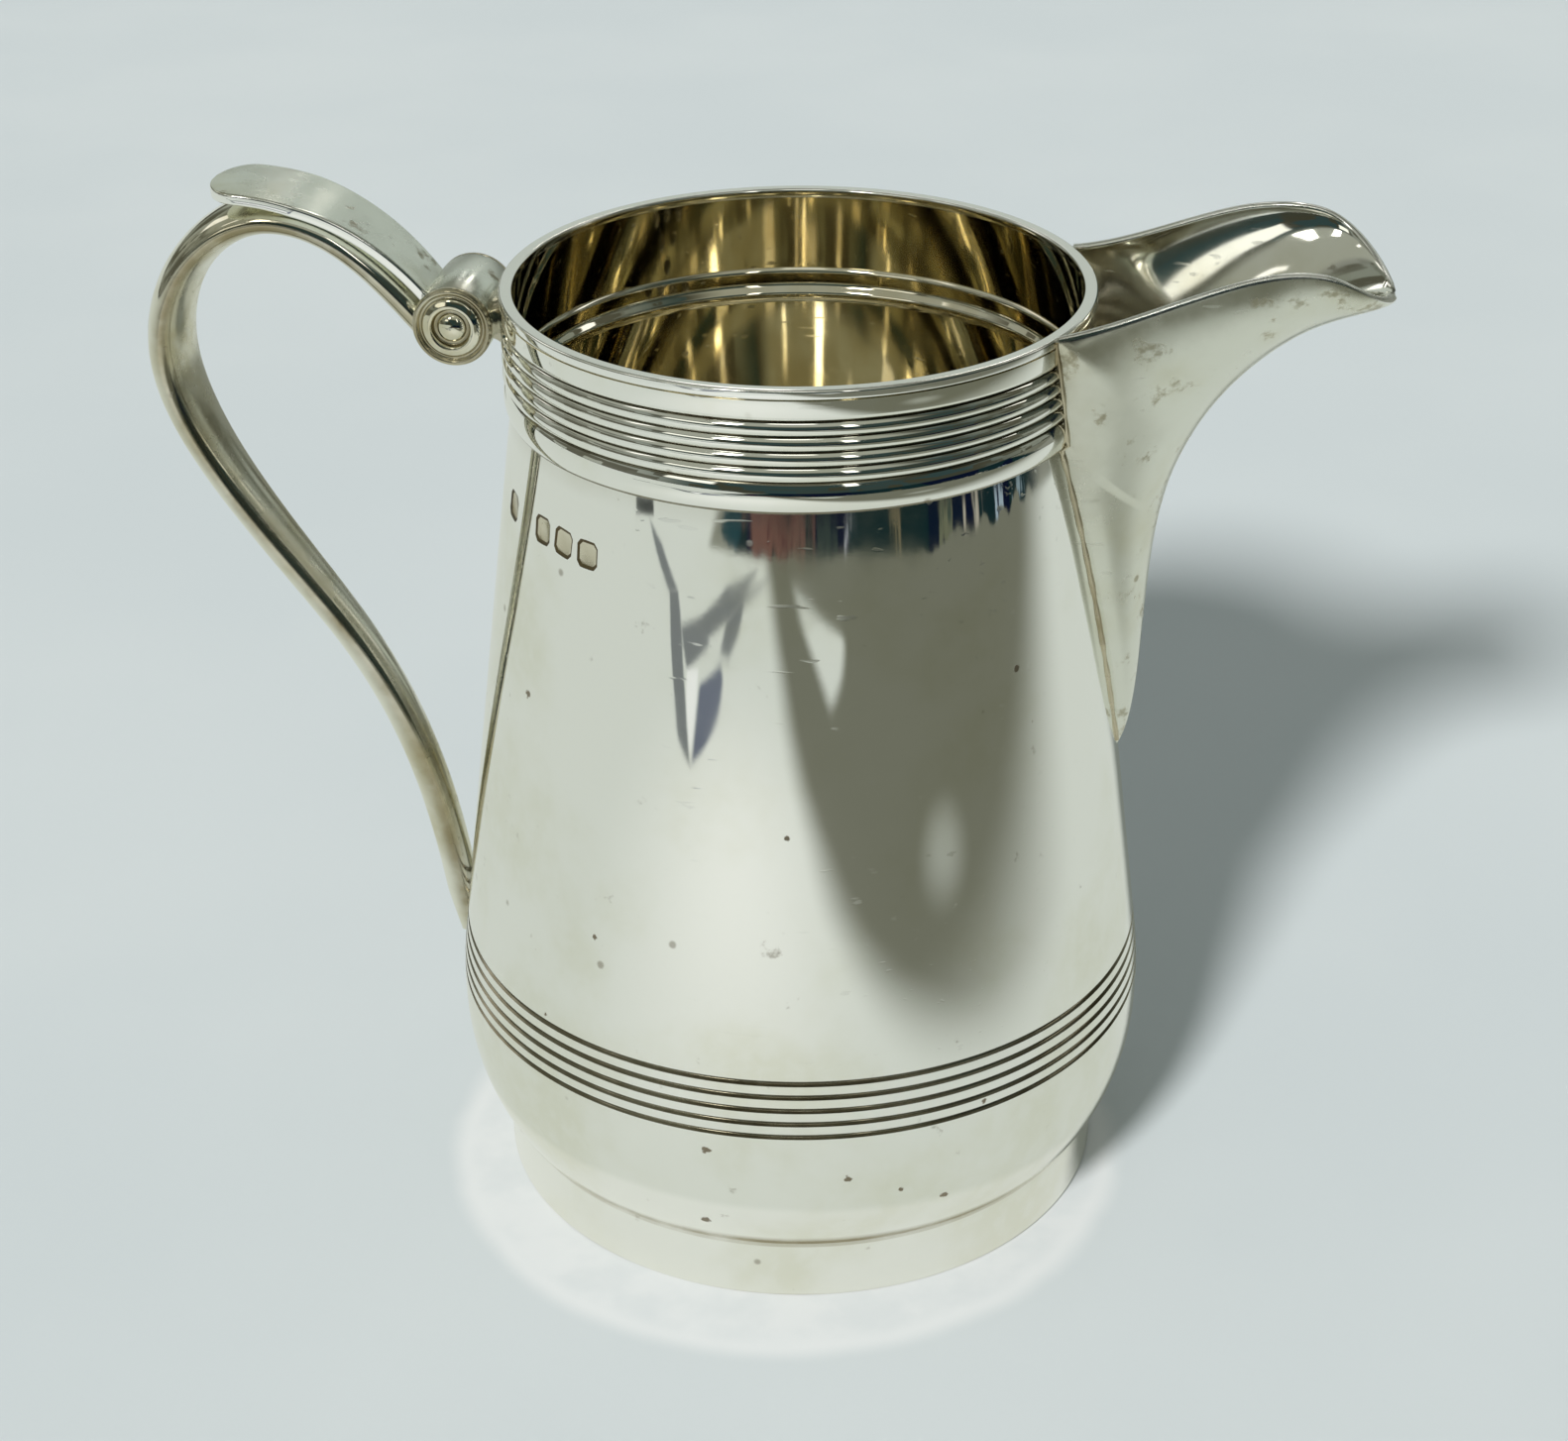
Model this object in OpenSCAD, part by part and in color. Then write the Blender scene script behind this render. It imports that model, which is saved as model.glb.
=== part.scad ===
// Silver cream jug: a tapered body on a foot ring, a reeded collar, a beak spout
// and a scroll handle that springs from a plain barrel.
// +Z is up, the spout points along +X, the handle along -X, and the origin is
// the centre of the foot ring's flat underside. All sizes are in millimetres.

/* [Body] */
// Outer radius where the body turns over the foot
body_foot_r = 33.4; // [33:0.1:34]
// Greatest outer radius of the body
belly_r = 36.55; // [36:0.05:37]
// Height of the greatest radius
belly_z = 21; // [19:0.5:23]
// Outer radius where the body meets the collar
body_top_r = 28.4; // [28.2:0.1:28.6]
// Slope of the straight side, radius lost for each mm of height
taper = 0.1294; // [0.12:0.001:0.135]
// Thickness of the body sheet
wall = 0.8; // [0.6:0.1:1]
// Number of cut lines round the belly
belly_lines = 5; // [3:1:6]

/* [Foot] */
// Outer radius of the foot ring
foot_r = 32.4; // [32:0.1:32.6]
// Height of the underside of the body
foot_h = 7; // [6:0.5:8]
// Thickness of the foot ring
foot_wall = 1.2; // [1:0.1:1.6]

/* [Collar] */
// Outer radius of the collar and the rim
collar_r = 29; // [28.8:0.1:29.2]
// Height of the collar's lower edge
collar_z = 86.7; // [86:0.1:87]
// Height of the rim
rim_z = 98.8; // [98:0.1:100]
// Width of the flat top of the rim
rim_w = 1.33; // [1:0.01:1.6]
// Height of the top groove
reed_top_z = 95.7; // [95:0.1:96]
// Distance from one groove to the next
reed_pitch = 1.48; // [1.4:0.01:1.5]
// Depth of each groove
reed_depth = 0.45; // [0.2:0.05:0.6]

/* [Spout] */
// Half the spout's width where it leaves the rim
spout_half_w = 13.4; // [12.5:0.1:14]
// Height of the pointed lower end of the spout
spout_low_z = 49.5; // [48:0.5:51]
// Distance of the lip from the jug's centre line
spout_reach = 57; // [56:0.5:58]
// Height of the top of the spout's edge
spout_crest_z = 105; // [104:0.5:106]
// Thickness of the spout sheet
spout_wall = 0.9; // [0.8:0.1:1]
// Radius of each hole behind the spout
strainer_r = 1.2; // [0.8:0.1:1.4]

/* [Handle] */
// Half the thickness of the handle at its outermost point
handle_half_t = 2; // [1.8:0.1:2.2]
// Half the width of the handle at its widest
handle_half_w = 4.9; // [4.4:0.1:5]
// Thickness of the thumb rest
thumb_t = 1.1; // [0.9:0.1:1.3]
// Half the width of the thumb rest at its free end
thumb_half_w = 5; // [4.6:0.1:5.2]
// Radius of the barrel
barrel_r = 4; // [3.8:0.05:4.1]
// Length of the barrel without its end bosses
barrel_len = 10; // [9:0.5:11]

/* [Hidden] */
$fn = 96;
eps = 0.02;
silver = "#d9dad2";
warm_silver = "#b9ad84";

// Height at which the belly's curve runs into the straight side
belly_rise = 2 * (body_top_r + taper * (collar_z - belly_z) - belly_r) / taper;
taper_z = belly_z + belly_rise;
// The lowest stretch of the body swells from the foot by this power law
belly_power = 2.4;
body_low_z = foot_h + 0.8;
belly_line_top_z = 29.1;
belly_line_pitch = 1.475;
belly_line_depth = 0.35;
base_z = 8.4;
base_rise = 1.2;
collar_in_r = collar_r - 1.1;
rim_h = 1;
reed_count = 5;
barrel_x = -33.4;
barrel_z = 94.2;
strainer_top_z = 84;
strainer_row_h = 3.5;
strainer_pitch = 4;

// ---- curves ----

function bez(p, t) = (1 - t) ^ 3 * p[0] + 3 * (1 - t) ^ 2 * t * p[1]
                     + 3 * (1 - t) * t ^ 2 * p[2] + t ^ 3 * p[3];
function bez_slope(p, t) = 3 * (1 - t) ^ 2 * (p[1] - p[0]) + 6 * (1 - t) * t * (p[2] - p[1])
                           + 3 * t ^ 2 * (p[3] - p[2]);
function unit(v) = v / norm(v);
function mix(a, b, t) = a + (b - a) * t;

// Outer radius of the body at height z
function body_r(z) =
    z < belly_z ? belly_r - (belly_r - body_foot_r)
                  * ((belly_z - z) / (belly_z - body_low_z)) ^ belly_power
    : z < taper_z ? belly_r - taper / (2 * belly_rise) * (z - belly_z) ^ 2
    : body_top_r + taper * (collar_z - z);

// Skins a list of rings, each ring the same number of points, into one closed solid
module skin(rings) {
    n = len(rings);
    m = len(rings[0]);
    sides = [for (i = [0:n - 2], j = [0:m - 1])
             [i * m + j, i * m + (j + 1) % m, (i + 1) * m + (j + 1) % m, (i + 1) * m + j]];
    first = [for (j = [m - 1:-1:0]) j];
    last = [for (j = [0:m - 1]) (n - 1) * m + j];
    polyhedron([for (ring = rings, p = ring) p], concat(sides, [first, last]), convexity = 8);
}

// ---- body ----

// The outside of the body as a solid of revolution, grown by `grow`
module body_form(grow = 0) {
    heights = concat([for (k = [0:12]) mix(body_low_z, belly_z, k / 12)],
                     [for (k = [1:4]) mix(belly_z, taper_z, k / 4)]);
    rotate_extrude()
        polygon(concat([[0, body_low_z]], [for (z = heights) [body_r(z) + grow, z]],
                       [[body_top_r + grow, collar_z], [0, collar_z]]));
}

// The holes that let the cream through to the spout, in rows of 4, 3, 2 and 1
module strainer_holes() {
    for (row = [0:3], k = [0:3 - row])
        translate([0, (k - (3 - row) / 2) * strainer_pitch, strainer_top_z - row * strainer_row_h])
            rotate([0, 90, 0])
                cylinder(r = strainer_r, h = collar_r + 6, $fn = 32);
}

module body_shell() {
    color(silver) difference() {
        body_form();
        difference() {
            body_form(-wall);
            translate([0, 0, body_low_z])
                cylinder(r = body_foot_r, h = wall, center = true);
        }
        translate([0, 0, body_low_z - 1])
            cylinder(r = body_foot_r - 2, h = 3);
        for (k = [0:belly_lines - 1])
            translate([0, 0, belly_line_top_z - k * belly_line_pitch])
                rotate_extrude()
                    translate([body_r(belly_line_top_z - k * belly_line_pitch), 0])
                        circle(r = belly_line_depth, $fn = 4);
        strainer_holes();
        translate([0, 0, collar_z - 0.4])
            cylinder(r = collar_in_r - 0.5, h = 1);
    }
}

module base_disc() {
    steps = 10;
    edge_r = body_r(base_z) - wall - 0.1;
    dome = [for (k = [0:steps]) [edge_r * k / steps, base_z + base_rise * (1 - (k / steps) ^ 2)]];
    color(silver) rotate_extrude()
        polygon(concat(dome, [for (k = [steps:-1:0]) dome[k] + [0, wall]]));
}

module foot_ring() {
    color(silver) rotate_extrude()
        polygon([[foot_r - foot_wall, 0], [foot_r, 0], [foot_r, foot_h - 0.6],
                 [foot_r + 0.3, foot_h], [body_foot_r - 0.4, foot_h + 0.8],
                 [body_foot_r - 2.6, foot_h + 0.8], [foot_r - foot_wall, foot_h - 0.8]]);
}

// ---- collar and rim ----

// The ring inside the joint, whose lower edge shows inside the mouth
module neck_ring() {
    color(warm_silver) rotate_extrude()
        polygon([[collar_in_r, collar_z + 3.5], [collar_in_r - 0.35, collar_z + 3.1],
                 [collar_in_r - 0.5, collar_z + 1.6], [collar_in_r - 1.05, collar_z + 0.9],
                 [collar_in_r - 1.1, collar_z + 0.4], [collar_in_r - 0.8, collar_z + 0.05],
                 [collar_in_r, collar_z + 0.05]]);
}

// Points of one rounded reed between heights z0 and z1, standing `rise` above the groove
function reed(z0, z1, rise, steps = 6) =
    [for (k = [0:steps - 1]) [collar_r - reed_depth + rise * sin(180 * k / steps),
                              mix(z0, z1, k / steps)]];

module neck_collar() {
    grooves = [for (k = [0:reed_count - 1]) reed_top_z - k * reed_pitch];
    lowest = grooves[reed_count - 1];
    color(silver) rotate_extrude()
        polygon(concat(
            reed(collar_z, lowest, reed_depth),
            [for (k = [reed_count - 1:-1:1]) each reed(grooves[k], grooves[k - 1], reed_depth)],
            [[collar_r - reed_depth, reed_top_z], [collar_r, reed_top_z + 0.5],
             [collar_r, rim_z - rim_h], [collar_in_r, rim_z - rim_h], [collar_in_r, collar_z]]));
}

module rim_wire() {
    color(silver) rotate_extrude()
        polygon([[collar_r - rim_w, rim_z - rim_h], [collar_r, rim_z - rim_h],
                 [collar_r, rim_z - 0.15], [collar_r - 0.15, rim_z],
                 [collar_r - rim_w + 0.15, rim_z], [collar_r - rim_w, rim_z - 0.15]]);
}

// ---- spout ----

// The spout is skinned between its keel, which is the line down its front, and its
// border, which climbs the body and then runs along the open edge to the lip.
keel_low = [[33, spout_low_z], [35.8, 54], [34.4, 68.5], [36.3, 77.5]];
keel_high = [[36.3, 77.5], [38.3, 88], [46.5, 97.6], [spout_reach, 99.6]];
edge_back = [[25.72, spout_half_w, 98.8], [33, 12, 99.8], [41, 12.2, spout_crest_z],
             [48, 10.4, spout_crest_z]];
edge_front = [[48, 10.4, spout_crest_z], [52, 10.6, spout_crest_z], [56.2, 9, 100.6],
              [spout_reach, 0, 99.6]];
// Share of the border that climbs the body, and of the rest that lies behind the crest
climb = 0.65;
crest = 0.85;
// Below 2 the spout's section is sharper at the keel than an ellipse
section_power = 1.75;

// Outer radius of whatever the spout is soldered to at height z
function backing_r(z) = z < collar_z ? body_r(z) : collar_r;

function keel(v) =
    let (p = v < 0.5 ? bez(keel_low, v / 0.5) : bez(keel_high, (v - 0.5) / 0.5)) [p[0], 0, p[1]];

function border(v) =
    v < climb ? let (z = mix(spout_low_z, rim_z, v / climb), w = spout_half_w * v / climb)
                [sqrt(backing_r(z) ^ 2 - w ^ 2), w, z]
    : v < crest ? bez(edge_back, (v - climb) / (crest - climb))
    : bez(edge_front, (v - crest) / (1 - crest));

// A point of the spout's outer face: v runs up the spout, u from -1 to 1 across it
function spout_point(v, u) =
    let (a = keel(v), b = border(v), side = u < 0 ? -1 : 1,
         across = sin(90 * abs(u)) ^ (2 / section_power),
         back = 1 - cos(90 * abs(u)) ^ (2 / section_power))
    [mix(a[0], b[0], back), side * b[1] * across, mix(a[2], b[2], back)];

// The sheet thins out towards both of its pointed ends
function spout_sheet(v) = min(spout_wall, border(v)[1] / 2);

// The inner face lies a sheet's thickness in, and stops at the wall that it is soldered to
function spout_inside(v, u) =
    let (d = 0.004, k = u * 0.985,
         along = spout_point(min(v + d, 1), k) - spout_point(max(v - d, 0), k),
         across = spout_point(v, k + d) - spout_point(v, k - d),
         q = spout_point(v, u) - spout_sheet(v) * unit(cross(across, along)),
         r = norm([q[0], q[1]]),
         wall_r = q[2] < rim_z && (r < backing_r(q[2]) || (abs(u) == 1 && v < climb))
                  ? backing_r(q[2]) : r)
    [q[0] * wall_r / r, q[1] * wall_r / r, q[2]];

module spout() {
    n = 44;
    m = 14;
    rings = [for (i = [0:n])
             let (v = mix(0.01, 0.994, i / n))
             concat([for (j = [m:-1:-m]) spout_point(v, j / m)],
                    [for (j = [-m:m]) spout_inside(v, j / m)])];
    color(silver) skin(rings);
}

// ---- handle ----

// The handle's centre line in the plane of symmetry, as X and Z
handle_rise = [[-35.5, 91.4], [-40, 96.5], [-44.7, 103.4], [-52, 103.4]];
handle_bend = [[-52, 103.4], [-57.3, 103.4], [-64, 97.8], [-64, 89]];
handle_fall = [[-64, 89], [-64, 78.6], [-52.6, 66], [-47.1, 56.9]];
handle_foot = [[-47.1, 56.9], [-42.4, 49.1], [-39.3, 40.2], [-37.6, 27]];
handle_tip = [[-37.6, 27], [-37.4, 25], [-37.2, 23], [-37, 21.2]];

// Each stretch: its curve, half thickness and half width from the stretch's start to its
// end, and the power law of the width
handle_parts = [
    [handle_rise, [1.85, 1.75], [3.2, 4.3], 1],
    [handle_bend, [1.75, handle_half_t], [4.3, handle_half_w], 1],
    [handle_fall, [handle_half_t, 1.85], [handle_half_w, 2.4], 1.3],
    [handle_foot, [1.85, 1.8], [2.4, 1.5], 1],
    [handle_tip, [1.8, 1], [1.5, 0.4], 1]];

function handle_ring(part, t, sides = 24) =
    let (c = bez(part[0], t), d = unit(bez_slope(part[0], t)), out = [d[1], -d[0]],
         h = mix(part[1][0], part[1][1], t), w = mix(part[2][1], part[2][0], (1 - t) ^ part[3]))
    [for (k = [0:sides - 1])
     let (a = 360 * k / sides)
     [c[0] - out[0] * h * cos(a), w * sin(a), c[1] - out[1] * h * cos(a)]];

module handle_scroll() {
    steps = 14;
    rings = concat([for (part = handle_parts, i = [0:steps - 1]) handle_ring(part, i / steps)],
                   [handle_ring(handle_parts[4], 1)]);
    color(silver) difference() {
        skin(rings);
        body_form(eps);
        barrel_form();
        thumb_form();
    }
}

// The thumb rest's lower face in the plane of symmetry
thumb_line = [[-35.4, 93.9], [-40.2, 101], [-47, 106.1], [-57.9, 105.5]];
thumb_root_half_w = 3.1;
thumb_full_x = -49;
// How far the thumb rest's rounded end runs
thumb_round = 3.4;

module thumb_form() {
    steps = 24;
    lower = [for (k = [0:steps]) bez(thumb_line, k / steps)];
    upper = [for (k = [steps:-1:0])
             let (d = unit(bez_slope(thumb_line, k / steps)))
             bez(thumb_line, k / steps) + thumb_t * [d[1], -d[0]]];
    round_x = thumb_line[3][0] + thumb_round;
    rounded = [for (k = [-6:6])
               [round_x - thumb_round * cos(15 * k), thumb_half_w * sin(15 * k)]];
    intersection() {
        translate([0, 8, 0])
            rotate([90, 0, 0])
                linear_extrude(16)
                    polygon(concat(lower, upper));
        translate([0, 0, 85])
            linear_extrude(30)
                polygon(concat([[barrel_x, -thumb_root_half_w], [thumb_full_x, -thumb_half_w]],
                               rounded,
                               [[thumb_full_x, thumb_half_w], [barrel_x, thumb_root_half_w]]));
    }
}

module thumb_rest() {
    color(silver) difference() {
        thumb_form();
        barrel_form();
    }
}

module barrel_form() {
    translate([barrel_x, 0, barrel_z])
        rotate([90, 0, 0])
            cylinder(r = barrel_r, h = barrel_len, center = true);
}

module barrel() {
    color(silver) difference() {
        barrel_form();
        cylinder(r = collar_r + eps, h = rim_z);
    }
}

// The saddle of metal that carries the barrel on the collar
module barrel_saddle() {
    color(silver) difference() {
        translate([0, barrel_len / 2 - 1, 0])
            rotate([90, 0, 0])
                linear_extrude(barrel_len - 2)
                    polygon([[-28, barrel_z + 2.9], [-30.2, barrel_z + 2.8], [barrel_x, barrel_z],
                             [-30.2, barrel_z - 2.8], [-28, barrel_z - 2.9]]);
        barrel_form($fn = 360);
        cylinder(r = collar_r, h = rim_z, $fn = 720);
    }
}

// One turned boss: a bead level with the barrel, a broad raised band and a domed centre,
// with a groove between each, facing along -Y
boss_groove = 0.3;
boss_dome_r = 1.45;
boss_dome_h = 0.75;

module boss() {
    edge = barrel_r - eps;
    translate([barrel_x, -barrel_len / 2, barrel_z])
        rotate([90, 0, 0])
            rotate_extrude()
                polygon(concat([[0, 0], [edge, 0], [edge, boss_groove], [3.75, 0.6], [3.5, 0.6],
                                [3.25, boss_groove], [3.05, boss_groove], [2.85, 0.6], [2.3, 0.85],
                                [2, 0.8], [1.8, boss_groove], [boss_dome_r, boss_groove]],
                               [for (k = [1:6]) [boss_dome_r * cos(15 * k),
                                                 boss_groove + boss_dome_h * sin(15 * k)]]));
}

module barrel_boss_front() {
    color(silver) boss();
}

module barrel_boss_rear() {
    color(silver) mirror([0, 1, 0]) boss();
}

body_shell();
base_disc();
foot_ring();
neck_ring();
neck_collar();
rim_wire();
spout();
handle_scroll();
thumb_rest();
barrel();
barrel_saddle();
barrel_boss_front();
barrel_boss_rear();
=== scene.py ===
"""Looks of the silver cream jug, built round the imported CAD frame.

Lengths in this file are millimetres unless a name says otherwise, and every mesh is scaled to
metres when it is made. +Z is up, the spout points along +X and the handle along -X.
"""

import math

import bmesh
import bpy
from mathutils import Matrix, Vector


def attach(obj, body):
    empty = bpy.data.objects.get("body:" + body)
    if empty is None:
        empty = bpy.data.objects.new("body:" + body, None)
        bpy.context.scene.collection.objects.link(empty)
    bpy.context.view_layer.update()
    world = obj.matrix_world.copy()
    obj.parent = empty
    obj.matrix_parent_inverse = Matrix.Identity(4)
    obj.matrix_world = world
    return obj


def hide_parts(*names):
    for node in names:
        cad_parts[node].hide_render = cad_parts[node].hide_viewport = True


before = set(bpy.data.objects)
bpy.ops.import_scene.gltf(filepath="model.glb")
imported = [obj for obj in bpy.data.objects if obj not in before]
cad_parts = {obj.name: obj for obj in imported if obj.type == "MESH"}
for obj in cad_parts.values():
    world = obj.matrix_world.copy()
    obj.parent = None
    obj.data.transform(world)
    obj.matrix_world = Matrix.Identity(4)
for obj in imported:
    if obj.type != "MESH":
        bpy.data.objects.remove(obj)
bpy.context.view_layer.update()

MM = 0.001
TURNS = 256  # segments round the jug
AXIS_R = 0.01  # a turned profile that closes on the axis stops this close to it

# ---- sizes, as in the CAD source ----
BELLY_R, BELLY_Z = 36.55, 21.0
FOOT_TURN_R, BODY_LOW_Z = 33.4, 7.8
BODY_TOP_R, COLLAR_Z, TAPER = 28.4, 86.7, 0.1294
BELLY_RISE = 2 * (BODY_TOP_R + TAPER * (COLLAR_Z - BELLY_Z) - BELLY_R) / TAPER
TAPER_Z = BELLY_Z + BELLY_RISE
WALL = 0.8
COLLAR_R, COLLAR_IN_R, RIM_Z = 29.0, 27.9, 98.8
REED_TOP_Z, REED_PITCH, REED_DEPTH, REEDS = 95.7, 1.48, 0.45, 5
LINE_TOP_Z, LINE_PITCH, LINE_DEPTH, LINES = 29.1, 1.475, 0.35, 5
FOOT_R, FOOT_H, FOOT_WALL = 32.4, 7.0, 1.2
BASE_EDGE_Z, BASE_RISE = 8.4, 1.2
RIM_IN_R, RIM_LOW_Z = 27.67, 97.8
BARREL_X, BARREL_Z, BARREL_R, BARREL_LEN = -33.4, 94.2, 4.0, 10.0


def mix(a, b, t):
    return a + (b - a) * t


def bezier(p, t):
    s = 1 - t
    return tuple(s ** 3 * a + 3 * s * s * t * b + 3 * s * t * t * c + t ** 3 * d
                 for a, b, c, d in zip(*p))


def bezier_slope(p, t):
    s = 1 - t
    return tuple(3 * s * s * (b - a) + 6 * s * t * (c - b) + 3 * t * t * (d - c)
                 for a, b, c, d in zip(*p))


def body_r(z):
    if z < BELLY_Z:
        return BELLY_R - (BELLY_R - FOOT_TURN_R) * ((BELLY_Z - z) / (BELLY_Z - BODY_LOW_Z)) ** 2.4
    if z < TAPER_Z:
        return BELLY_R - TAPER / (2 * BELLY_RISE) * (z - BELLY_Z) ** 2
    return BODY_TOP_R + TAPER * (COLLAR_Z - z)


def body_slope(z):
    d = 0.01
    return (body_r(z + d) - body_r(z - d)) / (2 * d)


# ---- meshes ----

def make_object(name, verts, faces, materials, face_material, sharp=40, stain_and_shade=None):
    """A mesh object from points in mm, with smooth shading that breaks at edges over `sharp` degrees.

    The last argument gives the depth of tarnish at each point, from 0 to 1, which the silver materials
    read; along the foot's bottom edge it carries painted contact shade as well.
    """
    mesh = bpy.data.meshes.new(name)
    mesh.from_pydata([(x * MM, y * MM, z * MM) for x, y, z in verts], [], faces)
    depth = mesh.attributes.new("stain_and_shade", "FLOAT", "POINT")
    if stain_and_shade:
        depth.data.foreach_set("value", [stain_and_shade(*v) for v in verts] if callable(stain_and_shade) else stain_and_shade)
    for material in materials:
        mesh.materials.append(material)
    if face_material:
        mesh.polygons.foreach_set("material_index", face_material)
    finish_mesh(mesh, sharp)
    obj = bpy.data.objects.new(name, mesh)
    bpy.context.scene.collection.objects.link(obj)
    return obj


def finish_mesh(mesh, sharp):
    bm = bmesh.new()
    bm.from_mesh(mesh)
    bmesh.ops.remove_doubles(bm, verts=bm.verts, dist=1e-7)
    bmesh.ops.recalc_face_normals(bm, faces=bm.faces)
    bm.to_mesh(mesh)
    bm.free()
    mesh.shade_smooth()
    mesh.set_sharp_from_angle(angle=math.radians(sharp))


def lathe(profile, turns=TURNS, indices=None):
    """Turns a closed profile of (r, z) round Z. `indices` gives the material of each profile stretch."""
    n = len(profile)
    verts = [(r * math.cos(2 * math.pi * k / turns), r * math.sin(2 * math.pi * k / turns), z)
             for k in range(turns) for r, z in profile]
    faces = []
    face_material = []
    for k in range(turns):
        nxt = (k + 1) % turns
        for j in range(n):
            i = (j + 1) % n
            faces.append((k * n + j, nxt * n + j, nxt * n + i, k * n + i))
            face_material.append(indices[j] if indices else 0)
    return verts, faces, face_material


CORNER_STEPS = 4


def round_corners(profile, radius):
    """Rounds each corner of a closed (r, z) outline with a small curve."""
    out = []
    n = len(profile)
    for i in range(n):
        a, b, c = (Vector(profile[(i + k) % n]) for k in (-1, 0, 1))
        back, on = a - b, c - b
        if back.length < 1e-6 or on.length < 1e-6:
            continue
        cut = min(radius, back.length * 0.45, on.length * 0.45)
        p, q = b + back.normalized() * cut, b + on.normalized() * cut
        for k in range(CORNER_STEPS + 1):
            t = k / CORNER_STEPS
            out.append(tuple((1 - t) ** 2 * p + 2 * t * (1 - t) * b + t * t * q))
    return out


def skin_rings(rings):
    """Skins a list of closed rings of points and caps both ends."""
    n, m = len(rings), len(rings[0])
    verts = [p for ring in rings for p in ring]
    faces = [(i * m + j, i * m + (j + 1) % m, (i + 1) * m + (j + 1) % m, (i + 1) * m + j)
             for i in range(n - 1) for j in range(m)]
    faces.append(tuple(range(m - 1, -1, -1)))
    faces.append(tuple((n - 1) * m + j for j in range(m)))
    return verts, faces


# ---- materials ----

def node(tree, kind, inputs=(), **props):
    made = tree.nodes.new(kind)
    for key, value in props.items():
        setattr(made, key, value)
    for key, value in dict(inputs).items():
        if isinstance(value, bpy.types.NodeSocket):
            tree.links.new(value, made.inputs[key])
        else:
            made.inputs[key].default_value = value
    return made


def noise(tree, coords, scale, detail, rough=0.55):
    return node(tree, "ShaderNodeTexNoise",
                {"Vector": coords, "Scale": scale, "Detail": detail, "Roughness": rough}).outputs["Fac"]


def ramp(tree, value, low, high, to_low=0.0, to_high=1.0):
    """Maps low..high to to_low..to_high smoothly, and stays flat outside."""
    return node(tree, "ShaderNodeMapRange",
                {"Value": value, "From Min": low, "From Max": high, "To Min": to_low, "To Max": to_high},
                interpolation_type="SMOOTHSTEP").outputs["Result"]


def math_node(tree, operation, a, b=0.0, clamp=False):
    return node(tree, "ShaderNodeMath", {0: a, 1: b}, operation=operation, use_clamp=clamp).outputs[0]


def times(tree, *values):
    out = values[0]
    for value in values[1:]:
        out = math_node(tree, "MULTIPLY", out, value)
    return out


def plus(tree, a, b):
    return math_node(tree, "ADD", a, b)


def minus(tree, a, b):
    return math_node(tree, "SUBTRACT", a, b)


def mix_color(tree, factor, a, b):
    made = tree.nodes.new("ShaderNodeMix")
    made.data_type = "RGBA"
    for key, value in ((0, factor), (6, a), (7, b)):
        if isinstance(value, bpy.types.NodeSocket):
            tree.links.new(value, made.inputs[key])
        else:
            made.inputs[key].default_value = value
    return made.outputs[2]


def rotated(tree, coords, angles, scale):
    return node(tree, "ShaderNodeMapping",
                {"Vector": coords, "Rotation": angles, "Scale": scale}).outputs[0]


# The brown of tarnish, also used for the painted contact shade along the foot's bottom edge
STAIN_AND_SHADE = (0.27, 0.22, 0.11, 1)
# Scales of the silver's patterns, in features per metre
PATCH_SCALE, FINE_SCALE, BLOTCH_SCALE, SPECK_SCALE = 55, 420, 240, 260
STAIN_SCALE, STAIN_DRIFT_SCALE, RAGGED_SCALE, SMEAR_SCALE = 190, 60, 1500, 130
WAVE_SCALE, GRAIN_SCALE = 70, 900
SCRATCH_SCALES = (60.0, 900.0, 900.0)  # stretched, so that the noise turns into lines
SCRATCHES = [((0.3, 0.2, 0.1), 0.69), ((1.2, 0.9, 0.5), 0.7), ((0.1, 1.5, 2.2), 0.7)]  # turn, threshold
BUMP_DISTANCE = 0.00003  # metres
# Painted reflections of dark specks on the table, laid on the body as small dark spots: angle round the
# jug, height and size
SPECK_REFLECTIONS = [(-139.3, 62.4, 0.85), (-97, 20.9, 0.85), (-98.2, 10.8, 0.9), (-74.8, 17.8, 0.8), (-66, 15.5, 0.75),
         (-58.2, 13.2, 0.85), (-52, 24, 0.7), (-118, 41, 0.65), (-84, 55, 0.65), (-40, 68, 0.75),
         (-37, 62, 0.7), (-128, 30, 0.7)]


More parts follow.
